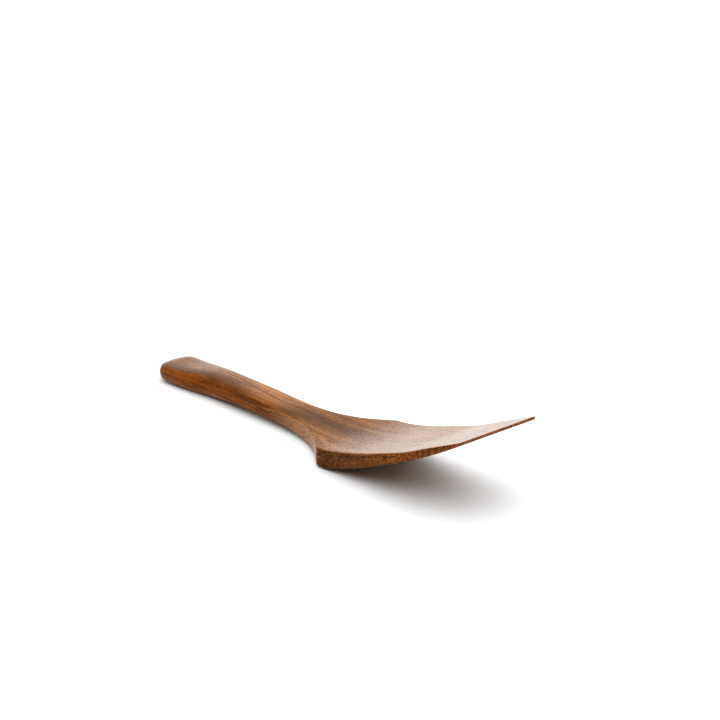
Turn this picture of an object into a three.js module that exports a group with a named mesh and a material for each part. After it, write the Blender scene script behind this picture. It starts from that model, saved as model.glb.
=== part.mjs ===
// A mini wooden spatula, carved in one piece from a single board: handle, neck, shoulders and blade.
//
// Millimetres, +Z up. X runs along the spatula, from the butt of the handle to the front edge of the blade.
// The origin is at the bottom centre of the bounding box. The spatula rests on two flats at Z = 0: one under
// the handle, and one across the heel, where the blade starts to rise.

import * as THREE from 'three';

// Lengths along X
const handleLength = 65;
const flareLength = 56;
const bladeLength = 79;
const buttLength = 12;
const bevelLength = 13;
const handleRestLength = 18;
const heelRestLength = 2;
const topRiseLead = 3.5;

// Widths across Y
const buttWidth = 20;
const gripWidth = 15.6;
const neckWidth = 14.9;
const shoulderWidth = 43.6;
const frontWidth = 40.2;

// Thicknesses on the centre line
const buttThickness = 8.4;
const gripThickness = 10.65;
const neckThickness = 8.25;
const heelThickness = 8.2;
const midBladeThickness = 4.8;
const bevelThickness = 3.05;
const frontEdgeThickness = 1.3;

// Heights above the table
const neckArch = 1.9;
const frontHeight = 33.8;

// Directions
const heelAngle = THREE.MathUtils.degToRad(15);
const shoulderAngle = THREE.MathUtils.degToRad(43);

// Roundings in plan and in side view
const buttNose = 8.5;
const buttRound = 9;
const shoulderRound = 1.8;
const frontCornerRound = 1.2;

// Roundings and curvature of the cross sections
const gripEdgeRound = 4.6;
const neckEdgeRound = 2.6;
const shoulderEdgeRound = 0.9;
const heelEdgeRound = 1.6;
const bladeEdgeRound = 0.6;
const frontEdgeRound = 0.3;
const gripCrown = 0.7;
const bladeDish = 0.3;

// Colour and finish of the oiled wood
const woodColour = 0x8a5a38;
const woodRoughness = 0.5;

// Stations along X, counted from the butt
const neckAt = handleLength;
const shoulderAt = neckAt + flareLength;
const totalLength = shoulderAt + bladeLength;
const gripAt = (buttLength + neckAt) / 2;
const handleRestEnd = buttLength + handleRestLength;
const heelRestEnd = shoulderAt + shoulderRound + heelRestLength;
const midBladeAt = (heelRestEnd + totalLength) / 2;
const bevelAt = totalLength - bevelLength;

// A smooth curve through [station, value] knots that never overshoots them, level at its start
function curveThrough(knots, endSlope = 0) {
  const gaps = knots.slice(1).map((knot, i) => knot[0] - knots[i][0]);
  const slopes = knots.slice(1).map((knot, i) => (knot[1] - knots[i][1]) / gaps[i]);
  const last = knots.length - 1;
  const tangents = knots.map((knot, i) => {
    if (i === last) return endSlope;
    const before = slopes[i - 1] ?? 0;
    const after = slopes[i];
    return before * after > 0 ? (2 * before * after) / (before + after) : 0;
  });
  return (station) => {
    if (station <= knots[0][0]) return knots[0][1];
    if (station >= knots[last][0]) return knots[last][1];
    const i = knots.findIndex((knot) => station < knot[0]) - 1;
    const t = (station - knots[i][0]) / gaps[i];
    const rise = t * t * (3 - 2 * t) * slopes[i];
    const leave = t * (1 - t) ** 2 * tangents[i];
    const arrive = t * t * (t - 1) * tangents[i + 1];
    return knots[i][1] + gaps[i] * (rise + leave + arrive);
  };
}

// How full a rounded end is at a distance from its tip: 0 at the tip, 1 where the rounding ends
function endFullness(distance, length) {
  const left = Math.max(1 - distance / length, 0);
  return Math.sqrt(1 - left * left);
}

// Plan: half of the width at a station
const handleHalfWidth = curveThrough([
  [buttLength, buttWidth / 2],
  [gripAt, gripWidth / 2],
  [neckAt, neckWidth / 2],
]);

function flareHalfWidth(station) {
  const t = (station - neckAt) / flareLength;
  const spread = t * t * (3 - 2 * t);
  const arrive = t * t * (t - 1) * flareLength * Math.tan(shoulderAngle);
  return neckWidth / 2 + spread * (shoulderWidth - neckWidth) / 2 + arrive;
}

function bladeHalfWidth(station) {
  const corner = Math.max(station - (totalLength - frontCornerRound), 0);
  const cut = frontCornerRound - Math.sqrt(Math.max(frontCornerRound ** 2 - corner ** 2, 0));
  const along = (station - shoulderAt) / bladeLength;
  return THREE.MathUtils.lerp(shoulderWidth, frontWidth, along) / 2 - cut;
}

function halfWidth(station) {
  if (station < neckAt) return handleHalfWidth(station) * endFullness(station, buttNose);
  if (station < shoulderAt - shoulderRound) return flareHalfWidth(station);
  if (station > shoulderAt + shoulderRound) return bladeHalfWidth(station);
  const t = (station - shoulderAt + shoulderRound) / (2 * shoulderRound);
  const start = flareHalfWidth(shoulderAt - shoulderRound);
  const end = bladeHalfWidth(shoulderAt + shoulderRound);
  return (1 - t) ** 2 * start + t * (1 - t) * shoulderWidth + t * t * end;
}

// Side view: the underside is flat at the two rests, arches under the neck and rises with the blade
const handleUnderside = curveThrough([
  [handleRestEnd, 0],
  [neckAt, neckArch],
  [shoulderAt, 0],
]);

const riseLength = totalLength - heelRestEnd;
const heelSlope = Math.tan(heelAngle);
const bladeBend = (frontHeight - frontEdgeThickness - heelSlope * riseLength) / riseLength ** 2;

function bladeUnderside(station) {
  const along = Math.max(station - heelRestEnd, 0);
  return heelSlope * along + bladeBend * along ** 2;
}

function underside(station) {
  return station < shoulderAt ? handleUnderside(station) : bladeUnderside(station);
}

const frontTaper = (bevelThickness - frontEdgeThickness) / bevelLength;
const frontSlope = heelSlope + 2 * bladeBend * riseLength - frontTaper;
const topRiseAt = shoulderAt - topRiseLead;
const topLine = curveThrough([
  [buttLength, buttThickness],
  [gripAt, underside(gripAt) + gripThickness],
  [neckAt, neckArch + neckThickness],
  [topRiseAt, underside(topRiseAt) + heelThickness],
  [midBladeAt, underside(midBladeAt) + midBladeThickness],
  [bevelAt, underside(bevelAt) + bevelThickness],
  [totalLength, frontHeight],
], frontSlope);

// How the roundings and the curvature of the cross sections change along the spatula
const topRound = curveThrough([
  [gripAt, gripEdgeRound],
  [neckAt, neckEdgeRound],
  [shoulderAt, shoulderEdgeRound],
  [midBladeAt, bladeEdgeRound],
  [totalLength, frontEdgeRound],
]);

const bottomRound = curveThrough([
  [gripAt, gripEdgeRound],
  [neckAt, neckEdgeRound],
  [shoulderAt, heelEdgeRound],
  [totalLength, frontEdgeRound],
]);

const crown = curveThrough([
  [neckAt, gripCrown],
  [shoulderAt, 0],
]);

const dish = curveThrough([
  [heelRestEnd, 0],
  [midBladeAt, bladeDish],
  [totalLength, 0],
]);

// Steps on each stretch of half a cross section, and the most of a thickness that one rounding may take
const flatSteps = 6;
const cornerSteps = 5;
const roundShare = 0.42;

// One closed cross section, from the bottom centre up the +Y side, over the top and down the -Y side
function sectionAt(station) {
  const half = halfWidth(station);
  const middle = (underside(station) + topLine(station)) / 2;
  const fullness = endFullness(station, buttRound);
  const thickness = (topLine(station) - underside(station)) * fullness;
  const bottom = middle - thickness / 2;
  const top = middle + thickness / 2;
  const roundBelow = Math.min(bottomRound(station), thickness * roundShare, half * roundShare * 2);
  const roundAbove = Math.min(topRound(station), thickness * roundShare, half * roundShare * 2);
  const side = [];
  for (let i = 0; i < flatSteps; i += 1) {
    side.push([(half - roundBelow) * i / flatSteps, bottom]);
  }
  for (let i = 0; i <= cornerSteps; i += 1) {
    const angle = Math.PI / 2 * i / cornerSteps;
    const y = half - roundBelow * (1 - Math.sin(angle));
    side.push([y, bottom + roundBelow * (1 - Math.cos(angle))]);
  }
  for (let i = 0; i <= cornerSteps; i += 1) {
    const angle = Math.PI / 2 * i / cornerSteps;
    const y = half - roundAbove * (1 - Math.cos(angle));
    side.push([y, top - roundAbove * (1 - Math.sin(angle))]);
  }
  for (let i = flatSteps - 1; i >= 0; i -= 1) {
    side.push([(half - roundAbove) * i / flatSteps, top]);
  }
  const curved = side.map(([y, z]) => {
    const across = (y / half) ** 2;
    const fall = z > middle ? crown(station) * fullness * across : 0;
    return [y, z + dish(station) * across - fall];
  });
  const mirrored = curved.slice(1, -1).reverse().map(([y, z]) => [-y, z]);
  return [...curved, ...mirrored];
}

// Stations evenly spread over a stretch, without its end
function spread(from, to, steps) {
  return Array.from({ length: steps }, (_, i) => from + (to - from) * i / steps);
}

// The stations of a rounded end, closer together toward its tip, without the tip itself
const noseStations = spread(0, Math.PI / 2, 9).slice(1).map((angle) => buttNose * (1 - Math.cos(angle)));

const frontCornerStations = spread(0, Math.PI / 2, 4).map(
  (angle) => totalLength - frontCornerRound * (1 - Math.sin(angle)),
);

const stations = [
  ...noseStations,
  ...spread(buttNose, buttLength, 2),
  ...spread(buttLength, handleRestEnd, 3),
  ...spread(handleRestEnd, neckAt, 8),
  ...spread(neckAt, shoulderAt - shoulderRound, 14),
  ...spread(shoulderAt - shoulderRound, shoulderAt + shoulderRound, 6),
  ...spread(shoulderAt + shoulderRound, heelRestEnd, 1),
  ...spread(heelRestEnd, totalLength - frontCornerRound, 16),
  ...frontCornerStations,
  totalLength,
];

// A skin over the cross sections, closed by a fan at the butt and by a strip across the front edge
function loftGeometry() {
  const sections = stations.map(sectionAt);
  const count = sections[0].length;
  const tip = [0, 0, (underside(0) + topLine(0)) / 2];
  const points = [tip];
  sections.forEach((section, i) => section.forEach(([y, z]) => points.push([stations[i], y, z])));
  const index = [];
  const at = (ring, i) => 1 + ring * count + (i % count);
  for (let i = 0; i < count; i += 1) {
    index.push(0, at(0, i + 1), at(0, i));
  }
  for (let ring = 0; ring < sections.length - 1; ring += 1) {
    for (let i = 0; i < count; i += 1) {
      index.push(at(ring, i), at(ring, i + 1), at(ring + 1, i + 1));
      index.push(at(ring, i), at(ring + 1, i + 1), at(ring + 1, i));
    }
  }
  const front = sections.length - 1;
  const top = count / 2;
  for (let i = 0; i < flatSteps + cornerSteps; i += 1) {
    index.push(at(front, i), at(front, i + 1), at(front, top - i - 1));
    index.push(at(front, i), at(front, top - i - 1), at(front, top - i));
    index.push(at(front, count - i), at(front, top + i), at(front, top + i + 1));
    index.push(at(front, count - i), at(front, top + i + 1), at(front, count - i - 1));
  }
  const geometry = new THREE.BufferGeometry();
  geometry.setAttribute('position', new THREE.Float32BufferAttribute(points.flat(), 3));
  geometry.setIndex(index);
  geometry.translate(-totalLength / 2, 0, 0);
  geometry.computeVertexNormals();
  return geometry;
}

const wood = new THREE.MeshStandardMaterial({ color: woodColour, roughness: woodRoughness, metalness: 0 });
const body = new THREE.Mesh(loftGeometry(), wood);
body.name = 'spatula_body';

const spatula = new THREE.Group();
spatula.name = 'mini_wooden_spatula';
spatula.add(body);

export default spatula;
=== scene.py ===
"""How a mini wooden spatula looks: one piece of brown oiled hardwood that lies on a white table."""

import math

import bpy
from mathutils import Matrix, Vector


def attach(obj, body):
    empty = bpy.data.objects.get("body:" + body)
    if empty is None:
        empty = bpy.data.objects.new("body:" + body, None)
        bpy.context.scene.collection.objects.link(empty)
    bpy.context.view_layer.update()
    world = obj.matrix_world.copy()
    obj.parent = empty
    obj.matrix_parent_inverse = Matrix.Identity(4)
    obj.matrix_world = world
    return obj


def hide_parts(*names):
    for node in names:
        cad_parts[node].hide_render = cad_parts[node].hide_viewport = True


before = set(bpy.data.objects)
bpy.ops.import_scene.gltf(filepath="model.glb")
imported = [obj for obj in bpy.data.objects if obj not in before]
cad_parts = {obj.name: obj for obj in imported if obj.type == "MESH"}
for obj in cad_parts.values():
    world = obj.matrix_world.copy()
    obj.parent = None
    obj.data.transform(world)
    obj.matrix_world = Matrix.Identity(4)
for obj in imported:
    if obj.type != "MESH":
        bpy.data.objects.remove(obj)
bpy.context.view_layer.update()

# The photograph's viewing angle in degrees, its distance in metres, and a long lens in millimetres
VIEW_TURN = 47.8
VIEW_RISE = 20.44
VIEW_DISTANCE = 0.969
LENS = 120
FILM = 36

# The middle of the view, in metres: how far to the right of the spatula's middle, and how far above it
MIDDLE_HEIGHT = 0.012
VIEW_RIGHT = 0.01549
VIEW_ABOVE = 0.02022

# The table, with its colour as light falls on it and as it is seen
TABLE_SIZE = 8
TABLE_GAP = 0.0001
TABLE_COLOUR = (0.45, 0.45, 0.45, 1)
TABLE_SEEN = (1.31, 1.35, 1.37, 1)

# The studio light: a wide soft box overhead that leans away from the camera, a lamp in it, and a dim room
WHITE = (1, 1, 1, 1)
BOX_LIGHT = 1.02
BOX_FADE = (0.2, 0.48)
ROOM_LIGHT = 0.05
LAMP_LIGHT = 0.5
LAMP_SOFTNESS = 90
LAMP_RISE = 75
LAMP_TURN = 140

# The wood's own colours, as linear light
BROWN = (0.24, 0.085, 0.018, 1)
TAN = (0.4, 0.175, 0.055, 1)
AMBER = (0.43, 0.098, 0.002, 1)
HONEY = (0.55, 0.245, 0.05, 1)
RUSSET = (0.68, 0.19, 0.035, 1)
GOLD = (0.35, 0.085, 0.005, 1)
PALE = (0.76, 0.34, 0.15, 1)
HEART = (0.075, 0.025, 0.006, 1)
PORE = (0.04, 0.013, 0.003, 1)

# All lengths from here to the gloss are in millimetres, and X is 0 at the middle of the spatula
MILLIMETRES = 1000.0

# Where the blade starts to rise, and how its underside climbs from there
HEEL_END = 24.8
HEEL_SLOPE = 0.268
HEEL_BEND = 0.00218

# The blade's narrow sides: how high their top edge is and how it falls, how they taper, and where they begin
EDGE_LEVEL = 8.5
EDGE_FALL = 0.0935
EDGE_DEPTH = (0.1, 0.7)
EDGE_LIFT = (50, 75)
SIDE_TAPER = 0.0177
SIDE_START = (20.9, 21.9)

# Stretches of X: where each one starts, is full, begins to fade and ends
NECK_SPAN = (-52, -40, -22, -4)
NECK_LINE_SPAN = (-52, -44, -28, -20)
DARK_FLANK_SPAN = (-58, -48, -32, -22)
FLARE_SPAN = (-28, -12, 18, 30)
EDGE_STREAK_AND_SHEEN_SPAN = (8, 22, 45, 75)
BLADE_SPAN = (8, 55, 98.4, 99.6)
OPEN_PORE_SPAN = (-14, 6, 30, 55)

# Changes along X: where each one starts, and where it is complete
BUTT = (-58, -92)
HANDLE_BAND_GROWS = (-30, -44)
AMBER_GROWS = (-30, -46)
FLANKS_GROW = (-12, -30)
FLARE_BAND_GROWS = (-30, -12)
FLARE_BAND_FADES = (12, 45)
SIDES_PAINTED_SHADE = (60, 25)
SIDES_REDDEN = (40, 80)
FRONT_EDGE = (99.2, 99.8)
HANDLE_SHINES = (-30, -60)
BLADE_SHINES = (6, 30)
SHINE_DULLS = (32, 90)

# Changes across the board, outward from its middle or up from its underside
FAR_HALF = (-1, 3)
BOTTOM_RIM = (0.4, 0.75)
BUTT_SWELL = 2.2
HANDLE_BAND = (-6.9, -6.0, -3.4, -0.8)
FLANK_START = (5.6, 7.0)
FLANK_STOP = (12, 9)
FLARE_START = (5.8, 7.4)
FLARE_TOP = (8.4, 7.4)
NECK_CORE = (6.8, 3.8)
FLANK_RISES = (1.0, 4.5)
FLANK_FOOT = (4.5, 2.5)

# Slanting lines: where each one is at X 0, its slope along X, its half width, and the half width that is full
FLARE_BAND_LINE = (-2.2, 0.04, 6.0, 2.0)
NECK_LINE = (-2.9, -0.05, 0.5, 0.2)
DARK_FLANK_LINE = (4.28, -0.09, 2.0, 0.8)
EDGE_STREAK_AND_SHEEN_LINE = (-12.6, -0.14, 2.6, 0.6)

# Noises: the length, width and height of their spots, then detail and roughness where they are set
SLOW_SWAY = (80, 30, 30)
QUICK_SWAY = (9, 4, 4)
RING_SWAY = (55, 12, 20)
WAVE_SWAY = (13, 12, 12)
RING_BREAKS = (50, 5, 9)
BAND_SIZE = (120, 8, 7)
STREAK_SIZE = (70, 2.6, 3.4, 3.0, 0.6)
HAIR_SIZE = (26, 0.9, 1.1, 2.0, 0.6)
FIBRE_SIZE = (14, 0.32, 0.32, 2.0, 0.6)
FLECK_SIZE = (1.4, 0.6, 0.6, 2.0, 0.6)
BLOTCH_SIZE = (22, 4, 2.2)
PATCH_SIZE = (40, 6, 9)

# How far the lanes of the grain sway from side to side, slowly and quickly
SLOW_REACH = 3
QUICK_REACH = 0.9

# Growth layers and the neck's wavy figure: width, height and sway, and where the dark line lies in each
RINGS = (1.7, 2.1, 1.6)
RING_LINE = (0.7, 0.95, 0.95, 1.0)
WAVES = (1.8, 1.5, 3.6)
WAVE_LINE = (0.5, 0.85, 0.9, 1.0)

# Pores: their length and width, and how near to the middle of a cell they start and are full
PORE_SIZE = (3.2, 0.9)
FINE_PORE_SIZE = (1.7, 0.6)
PORE_EDGE = (0.38, 0.2)

# The gloss of the bare wood, the thin coat of oil on it, and the relief of the grain in metres
GLOSS_IOR = 1.15
GLOSS_TINT = (1, 0.45, 0.12, 1)
ROUGHNESS = 0.3
COAT_IOR = 1.2
COAT_ROUGHNESS = 0.2
NECK_COAT = 0.1
HANDLE_COAT = 0.7
BLADE_COAT = 0.85
RELIEF_STRENGTH = 0.3
RELIEF_DEPTH = 0.00008

# The finer skin: the distance in metres at which points are merged, and how often a face is divided
MERGE_DISTANCE = 1e-6
SKIN_LEVELS = 2


class Field:
    """A value, vector or colour that varies over a surface: one output of a node.

    Python operators between fields, or a field and a number, add Math nodes to the same tree.
    """

    def __init__(self, tree, socket=None):
        self.tree, self.socket = tree, socket

    def node(self, kind, settings=None, sockets=None, output=0):
        """Adds a node: its settings first, then the values or links of its sockets."""
        made = self.tree.nodes.new("ShaderNode" + kind)
        for name, value in (settings or {}).items():
            setattr(made, name, value)
        self.fill(made, sockets or {})
        return Field(self.tree, made.outputs[output] if made.outputs else None)

    def fill(self, node, sockets):
        """Links fields to a node's sockets, and sets the other sockets to values."""
        for name, value in sockets.items():
            if isinstance(value, Field):
                self.tree.links.new(value.socket, node.inputs[name])
            else:
                node.inputs[name].default_value = value

    def math(self, operation, first, second=0.0):
        return self.node("Math", {"operation": operation}, {0: first, 1: second})

    def __add__(self, other):
        return self.math("ADD", self, other)

    def __radd__(self, other):
        return self.math("ADD", other, self)

    def __sub__(self, other):
        return self.math("SUBTRACT", self, other)

    def __rsub__(self, other):
        return self.math("SUBTRACT", other, self)

    def __mul__(self, other):
        return self.math("MULTIPLY", self, other)

    def __truediv__(self, other):
        return self.math("DIVIDE", self, other)

    def __abs__(self):
        return self.math("ABSOLUTE", self)

    def step(self, low, high):
        """0 below low, 1 above high, and smooth between them. If high is the lower one, it falls instead."""
        return self.node(
            "MapRange",
            {"interpolation_type": "SMOOTHSTEP"},
            {"Value": self, "From Min": low, "From Max": high, "To Min": 0.0, "To Max": 1.0},
        )

    def between(self, start, full, fading, end):
        """1 from full to fading, 0 before start and after end."""
        return self.step(start, full) * self.step(end, fading)

    def mixed(self, share, colour):
        """This colour with a share of another one."""
        return self.node("Mix", {"data_type": "RGBA"}, {0: share, 6: self, 7: colour}, 2)


class Grain:
    """The wood's own directions, in millimetres, and the patterns that run along its fibres."""

    def __init__(self, tree):
        self.wood = Field(tree)
        place = self.wood.node("TexCoord", {}, {}, "Object")
        point = self.wood.node("VectorMath", {"operation": "SCALE"}, {0: place, "Scale": MILLIMETRES})
        axes = [self.wood.node("SeparateXYZ", {}, {0: point}, axis) for axis in "XYZ"]
        self.along, self.across, above = axes

        # The height above the underside, because the grain follows the rise of the blade
        climb = self.wood.math("MAXIMUM", self.along - HEEL_END, 0.0)
        self.level = above - climb * HEEL_SLOPE - climb * climb * HEEL_BEND

        # The growth layers stand on edge, and their lanes sway along the board
        self.lane = self.across
        slow = (self.noise(*SLOW_SWAY) - 0.5) * SLOW_REACH
        quick = (self.noise(*QUICK_SWAY) - 0.5) * QUICK_REACH
        self.lane = self.across + slow + quick

    def stretched(self, length, width, height):
        """The place in the wood, counted in spots of that length, width and height."""
        sockets = {0: self.along / length, 1: self.lane / width, 2: self.level / height}
        return self.wood.node("CombineXYZ", {}, sockets)

    def noise(self, length, width, height, detail=2.0, rough=0.5):
        """Noise whose spots are about that long, wide and high."""
        at = self.stretched(length, width, height)
        sockets = {"Vector": at, "Scale": 1.0, "Detail": detail, "Roughness": rough}
        return self.wood.node("TexNoise", {}, sockets)

    def pores(self, length, width):
        """Slim pores along the fibres: dashes on the faces, dots on a cut end."""
        at = self.stretched(length, width, width)
        gap = self.wood.node("TexVoronoi", {}, {"Vector": at, "Scale": 1.0, "Randomness": 1.0})
        return gap.step(*PORE_EDGE)

    def layers(self, width, height, sway, noise_size):
        """Grows from 0 to 1 through each layer of wood, and starts again at 0 in the next one."""
        count = self.lane / width + self.level / height + self.noise(*noise_size) * sway
        return self.wood.math("FRACT", count)

    def line(self, field, middle, slope, half_width, full_width):
        """1 along a slanting line, and 0 farther from it than its half width."""
        return abs(field - middle - self.along * slope).step(half_width, full_width)


def alone(thing):
    """Makes one object the only selected one, for the operators that follow."""
    bpy.ops.object.select_all(action="DESELECT")
    thing.select_set(True)
    bpy.context.view_layer.objects.active = thing


def direction(turn, rise):
    """The direction that is turned so far from X and raised so far from the table, in degrees."""
    turn, rise = math.radians(turn), math.radians(rise)
    return Vector((math.cos(turn) * math.cos(rise), math.sin(turn) * math.cos(rise), math.sin(rise)))


def set_camera():
    """The photograph's camera."""
    right = direction(VIEW_TURN, 0)
    back = direction(VIEW_TURN - 90, VIEW_RISE)
    up = back.cross(right)
    middle = Vector((0, 0, MIDDLE_HEIGHT)) + VIEW_RIGHT * right + VIEW_ABOVE * up
    bpy.ops.object.camera_add()
    camera = bpy.context.object
    facing = Matrix((right, up, back)).transposed().to_4x4()
    camera.matrix_world = Matrix.Translation(middle + VIEW_DISTANCE * back) @ facing
    camera.data.lens = LENS
    camera.data.sensor_width = FILM
    bpy.context.scene.camera = camera


def lit_and_seen(field, lit, seen):
    """One shader for rays that carry light to a surface, and another for rays that show the background."""
    kinds = "Is Camera Ray", "Is Glossy Ray", "Is Transmission Ray"
    camera, glossy, through = [field.node("LightPath", {}, {}, kind) for kind in kinds]
    return field.node("MixShader", {}, {0: camera + glossy + through, 1: lit, 2: seen})


def light_room():
    """The soft box and the dim room as the world's light, and the lamp."""
    world = bpy.data.worlds.new("white_room")
    bpy.context.scene.world = world
    world.use_nodes = True
    world.node_tree.nodes.clear()
    room = Field(world.node_tree)
    to_lamp = direction(LAMP_TURN, LAMP_RISE)
    way = room.node("TexCoord", {}, {}, "Generated")
    toward = room.node("VectorMath", {"operation": "DOT_PRODUCT"}, {0: way, 1: to_lamp}, "Value")
    light = toward.step(*BOX_FADE) * BOX_LIGHT + ROOM_LIGHT
    lit = room.node("Background", {}, {"Strength": light, "Color": WHITE})
    seen = room.node("Background", {}, {"Strength": 1.0, "Color": WHITE})
    room.node("OutputWorld", {}, {"Surface": lit_and_seen(room, lit, seen)})

    bpy.ops.object.light_add(type="SUN")
    lamp = bpy.context.object
    lamp.rotation_euler = to_lamp.to_track_quat("Z", "Y").to_euler()
    lamp.data.energy = LAMP_LIGHT
    lamp.data.angle = math.radians(LAMP_SOFTNESS)


def lay_table():
    """A wide table just under the spatula."""
    bpy.ops.mesh.primitive_plane_add(size=TABLE_SIZE, location=(0, 0, -TABLE_GAP))
    table = bpy.context.object
    table.name = "table"
    finish = bpy.data.materials.new("white_table")
    finish.use_nodes = True
    finish.node_tree.nodes.clear()
    top = Field(finish.node_tree)
    lit = top.node("BsdfDiffuse", {}, {"Color": TABLE_COLOUR})
    seen = top.node("BsdfDiffuse", {}, {"Color": TABLE_SEEN})
    top.node("OutputMaterial", {}, {"Surface": lit_and_seen(top, lit, seen)})
    table.data.materials.append(finish)


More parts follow.
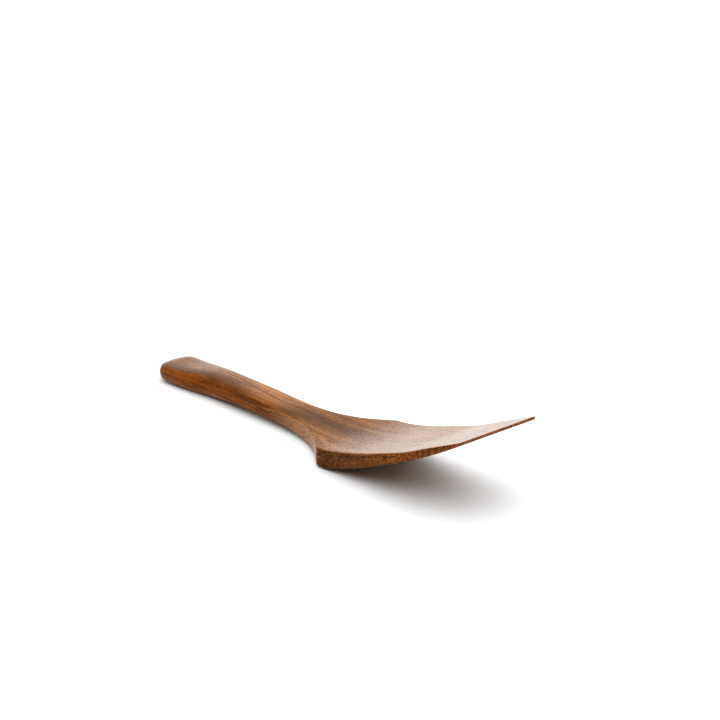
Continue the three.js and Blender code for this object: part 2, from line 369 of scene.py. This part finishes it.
def oiled_wood():
    """Brown hardwood, sawn on the quarter, with its fibres along X."""
    finish = bpy.data.materials.new("oiled_wood")
    finish.use_nodes = True
    grain = Grain(finish.node_tree)
    wood, along, across, level, lane = grain.wood, grain.along, grain.across, grain.level, grain.lane

    # Broad and narrow streaks, hairs, fibres, short flecks, and thin dark lines where growth layers end
    bands = grain.noise(*BAND_SIZE)
    streaks = grain.noise(*STREAK_SIZE)
    hairs = grain.noise(*HAIR_SIZE)
    fibres = grain.noise(*FIBRE_SIZE)
    flecks = grain.noise(*FLECK_SIZE)
    rings = grain.layers(*RINGS, RING_SWAY).between(*RING_LINE) * grain.noise(*RING_BREAKS).step(0.38, 0.58)

    # Parts of the surface: the far half, all above the bottom rim, the neck, and three kinds of side
    outward = abs(lane)
    swell = along.step(*BUTT) * BUTT_SWELL
    far = lane.step(*FAR_HALF)
    upper = level.step(*BOTTOM_RIM)
    neck = along.between(*NECK_SPAN)
    flanks = (outward - swell).step(*FLANK_START) * outward.step(*FLANK_STOP) * along.step(*FLANKS_GROW)
    flare = outward.step(*FLARE_START) * along.between(*FLARE_SPAN) * level.step(*FLARE_TOP)
    edge_depth = EDGE_LEVEL - (along - HEEL_END) * EDGE_FALL - level + along.step(*EDGE_LIFT)
    sides = (abs(across) + along * SIDE_TAPER).step(*SIDE_START) * edge_depth.step(*EDGE_DEPTH)

    # Dark heartwood: a band along the near top edge of the handle, one over the flare, and a line at the neck
    frayed = streaks.step(0.2, 0.55)
    handle_band = (lane + swell).between(*HANDLE_BAND) * along.step(*HANDLE_BAND_GROWS) * frayed
    flare_band = grain.line(lane, *FLARE_BAND_LINE) * along.step(*FLARE_BAND_GROWS) * frayed
    flare_band = flare_band * (1 - along.step(*FLARE_BAND_FADES) * 0.85)
    neck_line = grain.line(lane, *NECK_LINE) * along.between(*NECK_LINE_SPAN)

    # Amber and dark blotches on the flanks, a wavy figure at the neck, and a pale line by the blade's near
    # top edge that is partly a lighter streak in the wood and partly a painted sheen along that edge
    amber = flanks * level.step(*FLANK_RISES) * hairs.step(0.2, 0.5) * along.step(*AMBER_GROWS)
    dark_flank = grain.line(level, *DARK_FLANK_LINE) * along.between(*DARK_FLANK_SPAN)
    blotches = flanks * wood.math("MAXIMUM", grain.noise(*BLOTCH_SIZE).step(0.5, 0.68), dark_flank)
    figure = grain.layers(*WAVES, WAVE_SWAY).between(*WAVE_LINE) * neck * flanks
    edge_streak_and_sheen = grain.line(lane, *EDGE_STREAK_AND_SHEEN_LINE) * along.between(*EDGE_STREAK_AND_SHEEN_SPAN)

    # Open pores in patches, fine ones all over, and dark spots on the sides of the blade and the flare
    pores = grain.pores(*PORE_SIZE) * grain.noise(*PATCH_SIZE).step(0.3, 0.6)
    fine_pores = grain.pores(*FINE_PORE_SIZE)
    spots = flecks.step(0.54, 0.38) * (sides + flare * 0.4)

    # The plain wood, and the colours that lie over it in this order, each with its share
    colour = wood.node("Mix", {"data_type": "RGBA"}, {0: streaks.step(0.34, 0.66), 6: BROWN, 7: TAN}, 2)
    layers = (
        (bands.step(0.45, 0.65) * 0.35, AMBER),
        (neck * outward.step(*NECK_CORE) * 0.5, PALE),
        (flanks * (neck * 0.85 + level.step(*FLANK_FOOT) * (1 - neck) * 0.75), RUSSET),
        (amber * (0.9 - far * 0.35), AMBER),
        # The blade turns lighter honey toward the front, most above the bottom rim: partly the wood's own
        # tone, partly a painted warm sheen
        (along.between(*BLADE_SPAN) * (0.2 + upper * 0.3), HONEY),
        # The flare's flanks pale, paler on the near half: their own pale wood, with a painted highlight on
        # the near half, where the light falls
        (flare * (0.95 - far * 0.5), PALE),
        # Painted sheen along the blade's near top edge, mixed with a lighter streak in the wood
        (edge_streak_and_sheen * 0.4, PALE),
        # The blade's narrow sides in dark gold: their own colour with painted shade in it. More painted shade
        # on the near side toward the heel, and redder and lighter toward the front, where less shade falls
        (sides * 0.95, GOLD),
        (sides * along.step(*SIDES_PAINTED_SHADE) * (1 - far) * 0.3, HEART),
        (sides * along.step(*SIDES_REDDEN) * 0.6, RUSSET),
        (sides * flecks.step(0.54, 0.68) * 0.45, HONEY),
        (along.step(*FRONT_EDGE) * 0.5, RUSSET),
        (blotches * 0.6, HEART),
        (handle_band * 0.54, HEART),
        (flare_band * 0.8, HEART),
        (neck_line * 0.75, HEART),
        (rings * 0.5, HEART),
        (figure * 0.85, HEART),
        (hairs.step(0.5, 0.68) * (0.5 - flare * 0.3), HEART),
        (hairs.step(0.46, 0.3) * 0.3, HONEY),
        (fibres.step(0.52, 0.8) * 0.35, HEART),
        (spots * (0.85 - far * 0.35), PORE),
        (fine_pores * 0.35, PORE),
        (pores * (0.4 + along.between(*OPEN_PORE_SPAN) * 0.3), PORE),
    )
    for share, layer in layers:
        colour = colour.mixed(share, layer)

    # The oil has sunk in at the neck, on the flanks and on the sides. It shines on the handle and the blade
    rough = ROUGHNESS + (streaks - 0.5) * 0.1 + pores * 0.25
    coat = (NECK_COAT + along.step(*HANDLE_SHINES) * HANDLE_COAT) * (1 - flanks * 0.85)
    coat = coat + along.step(*BLADE_SHINES) * (BLADE_COAT - along.step(*SHINE_DULLS) * 0.3)
    coat = coat * (1 - sides * 0.9) * upper

    height = fibres * 0.3 + hairs * 0.4 - pores - fine_pores * 0.4 - spots * 0.6
    relief = {"Strength": RELIEF_STRENGTH, "Distance": RELIEF_DEPTH, "Height": height}
    wood.fill(
        finish.node_tree.nodes["Principled BSDF"],
        {
            "Base Color": colour,
            "Roughness": rough,
            "IOR": GLOSS_IOR,
            "Specular Tint": GLOSS_TINT,
            "Coat Weight": coat,
            "Coat Roughness": COAT_ROUGHNESS,
            "Coat IOR": COAT_IOR,
            "Normal": wood.node("Bump", {}, relief),
        },
    )
    return finish


def carve_body():
    """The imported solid's surface as one skin, made fine enough for close views."""
    body = bpy.data.objects.new("carved_spatula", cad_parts["spatula_body"].data.copy())
    bpy.context.collection.objects.link(body)
    alone(body)
    bpy.ops.mesh.customdata_custom_splitnormals_clear()
    bpy.ops.object.mode_set(mode="EDIT")
    bpy.ops.mesh.select_all(action="SELECT")
    bpy.ops.mesh.remove_doubles(threshold=MERGE_DISTANCE)
    bpy.ops.mesh.tris_convert_to_quads()
    bpy.ops.object.mode_set(mode="OBJECT")
    fine = body.modifiers.new("fine_skin", "SUBSURF")
    fine.levels = fine.render_levels = SKIN_LEVELS
    bpy.ops.object.modifier_apply(modifier=fine.name)
    bpy.ops.object.shade_smooth()
    body.data.materials.clear()
    body.data.materials.append(oiled_wood())
    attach(body, "root")
    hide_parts("spatula_body")


bpy.context.scene.view_settings.view_transform = "Standard"
set_camera()
light_room()
lay_table()
carve_body()
